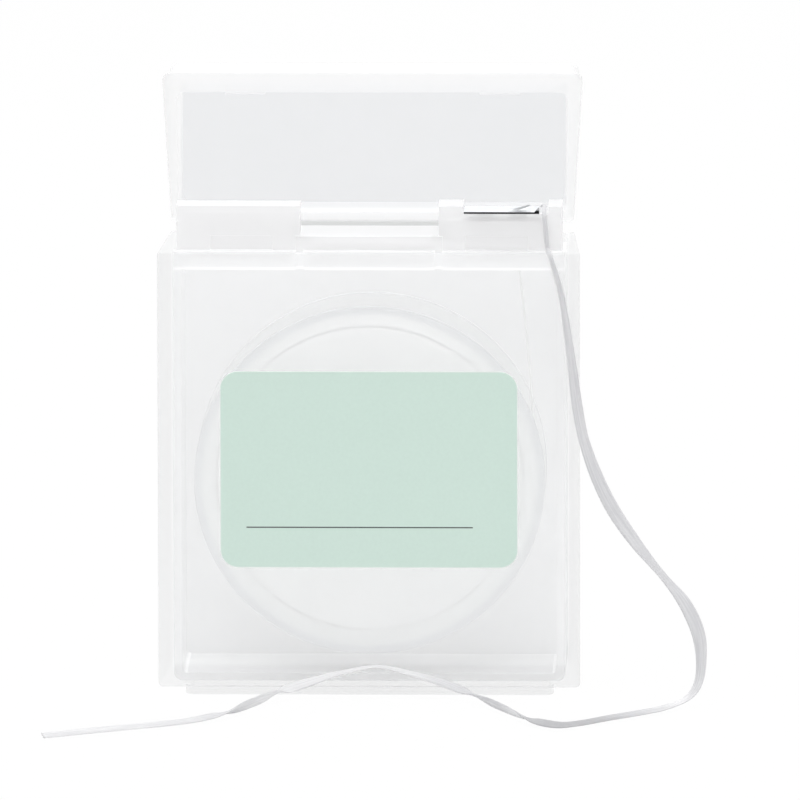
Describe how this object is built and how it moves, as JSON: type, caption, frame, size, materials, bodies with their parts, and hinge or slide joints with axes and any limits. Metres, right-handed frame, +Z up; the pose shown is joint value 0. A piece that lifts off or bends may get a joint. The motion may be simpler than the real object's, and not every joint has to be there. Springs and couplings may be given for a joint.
{
  "type": "dental floss dispenser",
  "caption": "Flat flip-top floss dispenser: translucent case with a hinged lid, a spool on a carrier, a steel cutter and a free tape of floss.",
  "frame": {"origin": "centre of the underside of the foot", "axes": "+X across the front to the viewer's right, +Y to the back, +Z up"},
  "size_m": [0.0777, 0.0601, 0.072],
  "materials": {
    "clear_polypropylene": "translucent natural polypropylene, satin",
    "natural_polypropylene": "natural polypropylene, satin",
    "steel": "thin rolled steel",
    "floss": "soft white tape of fine fibres",
    "label_film": "matt printed film"
  },
  "bodies": {
    "case": {"outer_case": "clear_polypropylene", "living_hinge": "clear_polypropylene", "spool_carrier": "natural_polypropylene", "cutter": "steel", "floss_lead": "floss", "floss_tail": "floss", "label": "label_film"},
    "lid": {"lid": "clear_polypropylene"},
    "spool": {"spool": "natural_polypropylene", "floss_pack": "floss", "floss_winding": "floss"}
  },
  "joints": [
    {"name": "lid_hinge", "type": "hinge", "parent": "case", "child": "lid", "pos_m": [0, 0.0094, 0.05355], "axis": [1, 0, 0], "range_deg": [-80, 90], "deforming": ["living_hinge"]},
    {"name": "spool_spin", "type": "hinge", "parent": "case", "child": "spool", "pos_m": [0, 0, 0.0254], "axis": [0, 1, 0], "continuous": true}
  ]
}
